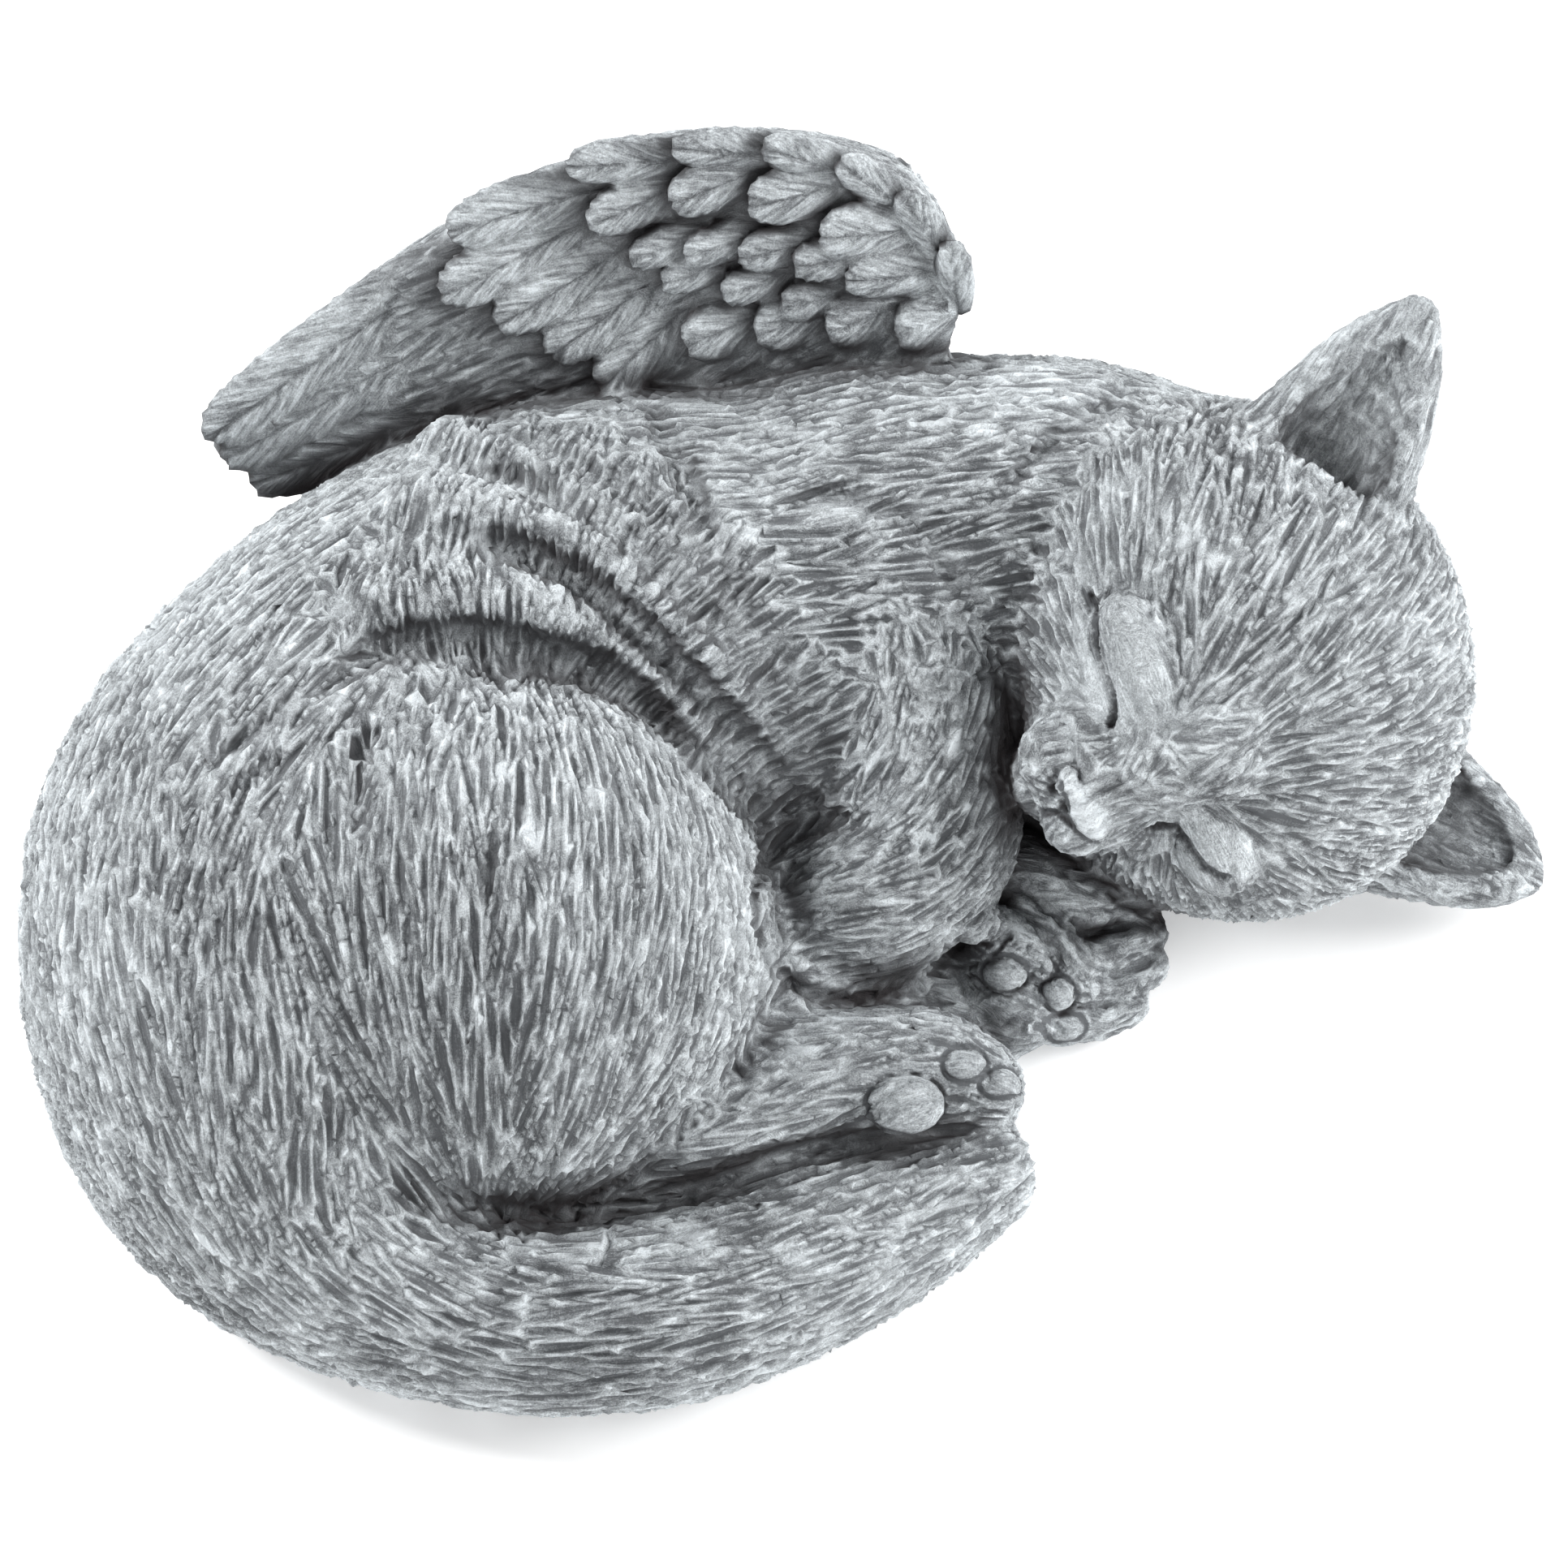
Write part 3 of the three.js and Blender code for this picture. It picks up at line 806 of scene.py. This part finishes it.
def on_head(form):
    """The form with its fur fanning out from the bridge of the nose."""
    return Form(form.distance, form.low, form.high, lambda p: p - BRIDGE)


def grown(form, by):
    """The form let out by some mm, so that its coat wins over its neighbours'."""
    return Form(lambda p: form.distance(p) - by, form.low - by, form.high + by, form.flow)


# Coats: the forms that carry fur or barbs, and their gouges' half width, half length and depth, mm.
ROLL_GROWTH = 3.5
COATS = [
    (spine, (0.66, 6.2, 1.15)),
    (haunch, (0.66, 6.8, 1.2)),
    (shoulder, (0.66, 5.4, 1.0)),
    *[(grown(r, ROLL_GROWTH), (0.66, 4.6, 1.05)) for r in rolls],
    (foreleg, (0.63, 5.4, 0.9)),
    (hind_foot, (0.62, 4.6, 0.85)),
    *[(b, (0.56, 2.4, 0.55)) for b in paws],
    *[(on_head(b), (0.64, 6.0, 1.1)) for b, _ in lumps[:1]],
    *[(on_head(b), (0.54, 3.6, 0.6)) for b, _ in lumps[1:]],
    (upper_ear, (0.6, 4.4, 0.4)),
    (lower_ear, (0.6, 4.0, 0.5)),
    (slab, (0.6, 4.0, 0.5)),
    *[(b, (0.62, 3.6, 0.42)) for b in feathers],
]

# Places where the gouges fade out: the form, how far from it they start and over how many mm.
pads = hind_pads + front_pads
PAD_TONE = 0.55
SMOOTH = [*[(b.distance, 0.3, 1.2) for b in pads], *[(b.distance, 0.1, 2.6) for b, _ in bare]]
TONES = [*[(b, PAD_TONE) for b in pads], *bare]

# Gouges.
COAT_BLEND = 1.2  # over how many mm one coat gives way to the next
LEAST_SHARE = 0.02  # of a coat in a place, below which it counts for nothing
LOWEST = 0.4  # no gouge starts below this height, mm
CANDIDATES = 110000
CROWDING = 2.9  # how many of them are kept, the smaller ones more often
TURN_SPREAD = 0.13
SIZE_SPREAD = [0.2, 0.25]
DEPTHS = (0.6, 1.2)
STEP = 10.0  # gouges are looked up in cells of this size, mm
OUT_OF_REACH = 9  # in a gouge's own measure
SPACING = 1.6  # between two gouges, in either one's own measure
ALIKE = 0.3  # how alike the normals of two gouges on the same face of the skin are
GRAZING = 0.1  # the same, of a vertex and the gouges that reach it
SHALLOW = 0.5  # the depth below which a gouge's tone fades to the middle one, mm
SIDE_RISE = 1.6  # how fast a ridge rises from the end of a gouge to its side
FULL = 1.15  # gap between the nearest two strokes, in their own measure, at which a trough is full
MIDDLE = 0.42  # how pale a place without gouges is, between a trough and a ridge
RISE = 0.45  # how far the ridges stand out from the smooth form, mm
LAND = 0.12  # how much of the gap is the flat of a ridge
END = 0.5  # how high the ridges stand at the ends of the gouges, of their full height
DRAWN = 0.9  # how much shorter the strands' pattern is along the fur

NEIGHBOURS = [(x, y, z) for x in (-1, 0, 1) for y in (-1, 0, 1) for z in (-1, 0, 1)]


def nearby(cells, key):
    """What lies in a cell and in those round it."""
    a, b, c = key
    return [i for x, y, z in NEIGHBOURS for i in cells.get((a + x, b + y, c + z), ())]


def beside(v, form, margin=1):
    """The vertices in a form's box, let out by a margin."""
    return np.flatnonzero(np.all((v > form.low - margin) & (v < form.high + margin), 1))


def strokes(v, n):
    """Where the gouges lie: place, normal, way, half width, half length and depth of each."""
    rng = np.random.default_rng(SEED)
    shown = np.flatnonzero(v[:, 2] > LOWEST)
    pick = rng.choice(shown, CANDIDATES, replace=False)
    p, normal = v[pick].astype(float), n[pick].astype(float)
    distance = np.stack([form.distance(p.astype(F)) for form, _ in COATS], 1)
    weight = np.exp(-(distance - distance.min(1, keepdims=True)) / COAT_BLEND)
    weight[weight < LEAST_SHARE] = 0
    weight /= weight.sum(1, keepdims=True)
    way = np.zeros_like(p)
    for k, (form, _) in enumerate(COATS):
        on = weight[:, k] > 0
        if form.flow is not None and on.any():
            way[on] += weight[on, k, None] * unit(form.flow(p[on]))
    sizes = weight @ np.array([s for _, s in COATS])
    for smooth, margin, fade in SMOOTH:
        sizes[:, 2] *= np.clip((smooth(p.astype(F)) - margin) / fade, 0, 1)
    turn = rng.normal(0, TURN_SPREAD, len(p))
    way -= normal * (way * normal).sum(1, keepdims=True)
    way = unit(way)
    across = np.cross(normal, way)
    way = unit(way * np.cos(turn)[:, None] + across * np.sin(turn)[:, None])
    sizes[:, :2] *= np.exp(rng.normal(0, SIZE_SPREAD, (len(p), 2)))
    sizes[:, 2] *= rng.uniform(*DEPTHS, len(p))
    across = np.cross(normal, way)
    keep = rng.random(len(p)) < CROWDING / (sizes[:, 0] * sizes[:, 1])
    cells, chosen = {}, []
    frames = np.stack([across / sizes[:, :1], way / sizes[:, 1:2]], 1)
    for i in np.flatnonzero(keep):
        key = tuple(np.floor(p[i] / STEP).astype(int))
        near = nearby(cells, key)
        if near:
            q = p[near] - p[i]
            facing = normal[near] @ normal[i] > ALIKE
            mine = ((frames[i] @ q.T) ** 2).sum(0)
            theirs = (np.einsum("kij,kj->ki", frames[near], q) ** 2).sum(1)
            if np.any((np.minimum(mine, theirs) < SPACING**2) & facing):
                continue
        cells.setdefault(key, []).append(i)
        chosen.append(i)
    i = np.array(chosen)
    return p[i], normal[i], frames[i], sizes[i, 2]


def troughs(v, n, made):
    """How deep the gouges cut at each vertex, how near a ridge is, and the strand's pattern place.

    The pattern place is the vertex's own, drawn together along the fur."""
    place, normal, frames, depth = made
    ways = unit(frames[:, 1]).astype(F)
    strand = v.copy()
    cells = {}
    for i, key in enumerate(map(tuple, np.floor(place / STEP).astype(int))):
        cells.setdefault(key, []).append(i)
    cell = np.floor(v / STEP).astype(int)
    low = cell.min(0)
    key = ((cell - low) * [4096, 64, 1]).sum(1)
    order = np.argsort(key, kind="stable")
    groups = np.split(order, np.flatnonzero(np.diff(key[order])) + 1)
    deep = np.zeros(len(v), F)
    best = np.full(len(v), 1.0, F)

    def one(rows):
        near = nearby(cells, cell[rows[0]])
        if len(near) < 2:
            return
        q = v[rows][:, None] - place[near].astype(F)[None]
        s = frames[near].astype(F)
        side = (q * s[None, :, 0]).sum(-1) ** 2
        m = np.sqrt(side + (q * s[None, :, 1]).sum(-1) ** 2)
        m[n[rows] @ normal[near].astype(F).T < GRAZING] = OUT_OF_REACH
        order = np.argpartition(m, 1, axis=1)[:, :2]
        two = np.take_along_axis(m, order, 1)
        first = order[np.arange(len(two)), two.argmin(1)]
        sideways = side[np.arange(len(two)), first] / np.maximum(two.min(1) ** 2, 1e-6)
        gap = np.clip(np.abs(two[:, 1] - two[:, 0]) / FULL, 0, 1)
        gap = 1 - (1 - gap) * (END + (1 - END) * np.clip(SIDE_RISE * sideways, 0, 1))
        cut = depth[near].astype(F)[first]
        best[rows] = MIDDLE + (1 - gap - MIDDLE) * np.clip(cut / SHALLOW, 0, 1)
        deep[rows] = cut * (1 - (1 - np.clip((gap - LAND) / (1 - LAND), 0, 1)) ** 2)
        mine = np.array(near)[first]
        along = ((v[rows] - place[mine]) * ways[mine]).sum(1)
        strand[rows] -= DRAWN * along[:, None] * ways[mine]

    with ThreadPoolExecutor(THREADS) as pool:
        list(pool.map(one, groups))
    return deep, best, strand


BARB_PITCH = 1.35
BARB_ANGLE = 0.4
BARB_DEPTH = 0.5
CREST = 0.78  # how pale a feather's ridges are
CREST_DROP = 0.6  # how much darker its cuts are


def barbs(v):
    """On the feathers: which vertices, the barbs' depth, how near a ridge is, and the strand."""
    owner = np.full(len(v), -1)
    best = np.full(len(v), 0.9, F)
    for i, one in enumerate(feathers):
        rows = beside(v, one)
        d = one.distance(v[rows])
        closer = d < best[rows]
        best[rows[closer]] = d[closer]
        owner[rows[closer]] = i
    deep, ridge, strand = np.zeros(len(v), F), np.zeros(len(v), F), v.copy()
    for i, one in enumerate(feathers):
        rows = np.flatnonzero(owner == i)
        q = (v[rows] - one.centre) @ one.axes
        x, y = q[:, 0], q[:, 1]
        long = min(one.radii[0] / 16, 1.3)
        pitch = BARB_PITCH * (0.85 + 0.3 * long)
        turn = (x * np.sin(BARB_ANGLE) + np.abs(y) * np.cos(BARB_ANGLE)) / pitch
        turn += 0.22 * np.sin(0.45 * x + 0.8 * y + 2 * i) + 0.1 * np.sin(1.3 * y - 0.9 * x + 5 * i)
        wave = np.abs(np.sin(np.pi * turn))
        uneven = 0.7 + 0.3 * np.sin(0.55 * x + i) * np.sin(1.1 * y + 3 * i)
        shaft = np.clip(1 - np.abs(y) / 0.5, 0, 1) * np.clip(2 * long, 0, 1)
        cut = np.maximum(wave**0.8 * uneven, 1.2 * shaft)
        deep[rows] = BARB_DEPTH * cut
        ridge[rows] = CREST - CREST_DROP * cut
        aside = np.sign(y) * np.sin(BARB_ANGLE)
        barb = np.stack([np.full(len(y), -np.cos(BARB_ANGLE)), aside], 1)
        along = (q[:, :2] * barb).sum(1)
        strand[rows] -= DRAWN * along[:, None] * (barb @ one.axes[:, :2].T)
    return owner >= 0, deep, ridge, strand


def relief(v, n, made):
    """How deep everything cuts at each vertex, and how near it is to a ridge."""
    deep, ridge, strand = troughs(v, n, made)
    on, barb, crest, drawn = barbs(v)
    deep[on], ridge[on], strand[on] = barb[on], crest[on], drawn[on]
    for form, tone in TONES:
        rows = beside(v, form)
        ridge[rows] += (tone - ridge[rows]) * np.clip(1 - form.distance(v[rows]), 0, 1)
    for line, half, depth in scores:
        rows = beside(v, line)
        cut = 1 - np.clip((line.distance(v[rows]) + half) / half, 0, 1) ** 2
        deep[rows] = np.maximum(deep[rows], depth * cut)
        ridge[rows] = np.minimum(ridge[rows], 1 - 2 * cut)
    return deep, ridge, strand


def facing_out(v, faces):
    """The faces turned so that they enclose a positive volume."""
    a, b, c = (v[faces[:, i]].astype(float) for i in range(3))
    return faces if (a * np.cross(b, c)).sum() > 0 else faces[:, ::-1]


def outward(v, quads):
    """Each vertex's normal, from the faces round it."""
    face = np.cross(v[quads[:, 2]] - v[quads[:, 0]], v[quads[:, 3]] - v[quads[:, 1]])
    n = [np.bincount(quads.ravel(), np.repeat(face[:, i], 4), len(v)) for i in range(3)]
    return unit(np.stack(n, 1)).astype(F)


def mesh_object(name, v, faces):
    mesh = bpy.data.meshes.new(name)
    mesh.vertices.add(len(v))
    mesh.vertices.foreach_set("co", v.astype(F).ravel())
    mesh.loops.add(faces.size)
    mesh.loops.foreach_set("vertex_index", faces.astype(np.int32).ravel())
    mesh.polygons.add(len(faces))
    mesh.polygons.foreach_set("loop_start", np.arange(len(faces), dtype=np.int32) * faces.shape[1])
    mesh.update(calc_edges=True)
    made = bpy.data.objects.new(name, mesh)
    bpy.context.scene.collection.objects.link(made)
    return made


def simplified(made, count, free):
    """The object with its mesh drawn down to a number of triangles, at its free vertices only."""
    thin = made.modifiers.new("thin", "DECIMATE")
    made.vertex_groups.new(name="free").add(free.tolist(), 1, "REPLACE")
    thin.vertex_group = "free"
    thin.ratio = count / (2 * len(made.data.polygons))
    thin.use_collapse_triangulate = True
    graph = bpy.context.evaluated_depsgraph_get()
    mesh = bpy.data.meshes.new_from_object(made.evaluated_get(graph))
    made.modifiers.clear()
    made.vertex_groups.clear()
    old, made.data = made.data, mesh
    bpy.data.meshes.remove(old)
    return made


def vectors(mesh, name):
    """The vertices' places, "co", or normals, "normal"."""
    values = np.empty(len(mesh.vertices) * 3, F)
    mesh.vertices.foreach_get(name, values)
    return values.reshape(-1, 3)


SHARP_REACH = 2.2  # the grid stays whole this near to the scored lines, mm
BOX_MARGIN = 0.05
REACHES = (2.0, 6.0, 14.0)  # how far out it is felt how enclosed a place is, for the painted shade in creases and hollows, mm
OWN = 0.6  # a vertex's own share of its tone, its neighbours having the rest

v, quads = first_surface()
v, quads = subdivided(settled(v), quads)
quads = facing_out(v, quads)
n = outward(v, quads)
made = strokes(v, n)
deep, _, _ = relief(v, n, made)
held = np.zeros(len(v), bool)
for line, _, _ in scores:
    rows = beside(v, line, SHARP_REACH)
    held[rows] |= line.distance(v[rows]) < SHARP_REACH
v = v - n * (deep - RISE)[:, None]
inner = [np.array(c) * 1000 + SHIFT for c in CAD_BOX]


def inside(v):
    """The vertices drawn in to the solid's own box."""
    return np.clip(v, inner[0] + [BOX_MARGIN, BOX_MARGIN, 0], inner[1] - BOX_MARGIN).astype(F)


cat = mesh_object("cat", (inside(v) - SHIFT) / 1000, quads)
simplified(cat, TRIANGLES, np.flatnonzero(~held))

v = inside(vectors(cat.data, "co") * 1000 + SHIFT)
cat.data.vertices.foreach_set("co", ((v - SHIFT) / 1000).astype(F).ravel())
cat.data.validate()
cat.data.update()
n = vectors(cat.data, "normal")
_, ridge, strand = relief(v, n, made)
ends = np.empty(2 * len(cat.data.edges), np.int32)
cat.data.edges.foreach_get("vertices", ends)
ends = ends.reshape(-1, 2)
count = np.bincount(ends.ravel(), minlength=len(v))
around = np.bincount(ends.ravel(), ridge[ends[:, ::-1]].ravel(), len(v)) / np.maximum(count, 1)
ridge = (OWN * ridge + (1 - OWN) * around).astype(F)
# How enclosed each vertex is, felt at the reaches: the mask for the painted shade.
painted_shade_mask = sum(1 - np.clip(in_groups(surface, v + n * F(r)) / r, 0, 1) for r in REACHES) / len(REACHES)
for name, values in (("ridge", ridge), ("painted_shade_mask", painted_shade_mask)):
    layer = cat.data.attributes.new(name, "FLOAT", "POINT")
    layer.data.foreach_set("value", np.ascontiguousarray(values, F))
layer = cat.data.attributes.new("strand", "FLOAT_VECTOR", "POINT")
layer.data.foreach_set("vector", np.ascontiguousarray(strand, F).ravel())
cat.data.polygons.foreach_set("use_smooth", np.ones(len(cat.data.polygons), bool))


GROUND = ((0.085, 0.091, 0.098), (0.15, 0.16, 0.17))  # of the bare stone, from dark to pale
PALE = (0.76, 0.81, 0.84)  # of the brushed ridges
# Painted shade: the near-black that creases and hollows are blended towards, by how enclosed they
# are.
PAINTED_SHADE = (0.03, 0.026, 0.028)
BRUSHING = 1.45  # a power: the higher, the more only the very ridges are pale


def stone():
    """Cast stone: cool grey, dry-brushed pale on the ridges and darker in the cuts, with painted
    shade in the creases and hollows.
    """
    material = bpy.data.materials.new("cast_stone")
    material.use_nodes = True
    tree = material.node_tree
    tree.nodes.clear()
    add = tree.nodes.new
    link = tree.links.new
    out = add("ShaderNodeOutputMaterial")
    shader = add("ShaderNodeBsdfPrincipled")
    link(shader.outputs[0], out.inputs["Surface"])
    place = add("ShaderNodeTexCoord").outputs["Object"]

    def noise(at, scale, detail, rough=0.5):
        node = add("ShaderNodeTexNoise")
        node.inputs["Scale"].default_value = scale
        node.inputs["Detail"].default_value = detail
        node.inputs["Roughness"].default_value = rough
        link(at, node.inputs["Vector"])
        return node.outputs["Fac"]

    def value(name, kind="Fac"):
        node = add("ShaderNodeAttribute")
        node.attribute_name = name
        return node.outputs[kind]

    def math_node(kind, a, b):
        node = add("ShaderNodeMath")
        node.operation = kind
        for socket, x in zip(node.inputs, (a, b)):
            if isinstance(x, (int, float)):
                socket.default_value = x
            else:
                link(x, socket)
        return node.outputs[0]

    def span(x, a, b, c, d):
        """Maps a to b on c to d."""
        node = add("ShaderNodeMapRange")
        for socket, y in zip(list(node.inputs)[1:5], (a, b, c, d)):
            socket.default_value = y
        link(x, node.inputs[0])
        return node.outputs[0]

    def blend(fac, a, b):
        node = add("ShaderNodeMix")
        node.data_type = "RGBA"
        link(fac, node.inputs[0])
        for socket, x in zip((node.inputs[6], node.inputs[7]), (a, b)):
            if isinstance(x, tuple):
                socket.default_value = (*x, 1)
            else:
                link(x, socket)
        return node.outputs[2]

    grain = noise(place, 3500, 3, 0.6)
    fine = noise(place, 900, 4)
    broad = noise(place, 40, 3)
    hair = noise(value("strand", "Vector"), 2.0, 3, 0.6)
    ridge = value("ridge")
    painted_shade_mask = value("painted_shade_mask")
    worn = ridge
    patterns = ((fine, 0.3, 0.08), (broad, 0.35, 0.06), (hair, 0.3, 0.18), (grain, 0.3, 0.14))
    for pattern, low, amount in patterns:
        worn = math_node("ADD", worn, span(pattern, low, 1 - low, -amount, amount))
    brushed = math_node("POWER", span(worn, 0.1, 0.8, 0, 1), BRUSHING)
    # Painted shade: the pale ridges are dimmed where the surface is enclosed.
    shade_on_ridges = span(painted_shade_mask, 0.15, 0.6, 1, 0.25)
    brushed = math_node("MULTIPLY", brushed, shade_on_ridges)
    ground = blend(span(broad, 0.3, 0.7, 0, 1), *GROUND)
    colour = blend(brushed, ground, PALE)
    # Painted shade: darkens the colour towards near-black in enclosed creases and hollows.
    colour = blend(span(painted_shade_mask, 0.3, 0.85, 0, 1), colour, PAINTED_SHADE)
    link(colour, shader.inputs["Base Color"])
    link(span(fine, 0.3, 0.7, 0.78, 0.95), shader.inputs["Roughness"])
    rough = math_node("ADD", math_node("MULTIPLY", hair, 1.6), math_node("MULTIPLY", grain, 0.5))
    bump = add("ShaderNodeBump")
    bump.inputs["Distance"].default_value = 0.0004
    bump.inputs["Strength"].default_value = 0.6
    link(rough, bump.inputs["Height"])
    link(bump.outputs[0], shader.inputs["Normal"])
    return material


cat.data.materials.clear()
cat.data.materials.append(stone())
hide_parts("angel_cat")
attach(cat, "root")

# Floor, light and camera.
FLOOR_SIZE = 6.0
FLOOR = {
    "Base Color": (0.93, 0.93, 0.93, 1),
    "Emission Color": (1, 1, 1, 1),
    "Emission Strength": 0.3,
    "Roughness": 0.9,
}
WORLD_LIGHT = 0.38
bpy.ops.mesh.primitive_plane_add(size=FLOOR_SIZE)
floor = bpy.context.object
floor.name = "floor"
pale = bpy.data.materials.new("pale_floor")
pale.use_nodes = True
for name, value in FLOOR.items():
    pale.node_tree.nodes["Principled BSDF"].inputs[name].default_value = value
floor.data.materials.append(pale)
floor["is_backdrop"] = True

world = bpy.context.scene.world or bpy.data.worlds.new("world")
bpy.context.scene.world = world
world.use_nodes = True
world.node_tree.nodes["Background"].inputs[0].default_value = (1, 1, 1, 1)
world.node_tree.nodes["Background"].inputs[1].default_value = WORLD_LIGHT

TARGET = Vector((VIEW_TARGET - SHIFT) / 1000)


def softbox(name, place, size, power):
    """A round area light that faces the target."""
    light = bpy.data.lights.new(name, "AREA")
    light.shape = "DISK"
    light.size = size
    light.energy = power
    lamp = bpy.data.objects.new(name, light)
    lamp.location = place
    lamp.rotation_mode = "QUATERNION"
    lamp.rotation_quaternion = (Vector(place) - TARGET).to_track_quat("Z", "Y")
    bpy.context.scene.collection.objects.link(lamp)


softbox("left", (-0.9, 0.25, 0.7), 0.3, 11.5)
softbox("right", (1.0, 0.1, 0.5), 0.5, 11)
softbox("rear", (0.1, 1.1, 0.8), 0.7, 6)
softbox("front", (0.1, -1.1, 0.35), 0.8, 4.5)

camera = bpy.data.cameras.new("camera")
camera.lens = VIEW_LENS
camera.sensor_width = SENSOR
camera.clip_start = 0.05
camera.clip_end = 20
viewer = bpy.data.objects.new("camera", camera)
viewer.location = TARGET + Vector(BACK * VIEW_DISTANCE / 1000)
viewer.rotation_mode = "QUATERNION"
viewer.rotation_quaternion = Matrix(np.stack([RIGHT, UP, BACK], 1).tolist()).to_quaternion()
bpy.context.scene.collection.objects.link(viewer)
bpy.context.scene.camera = viewer
bpy.context.scene.view_settings.view_transform = "Standard"

[[list(corner) for corner in box] for box in (CAD_BOX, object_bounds())]
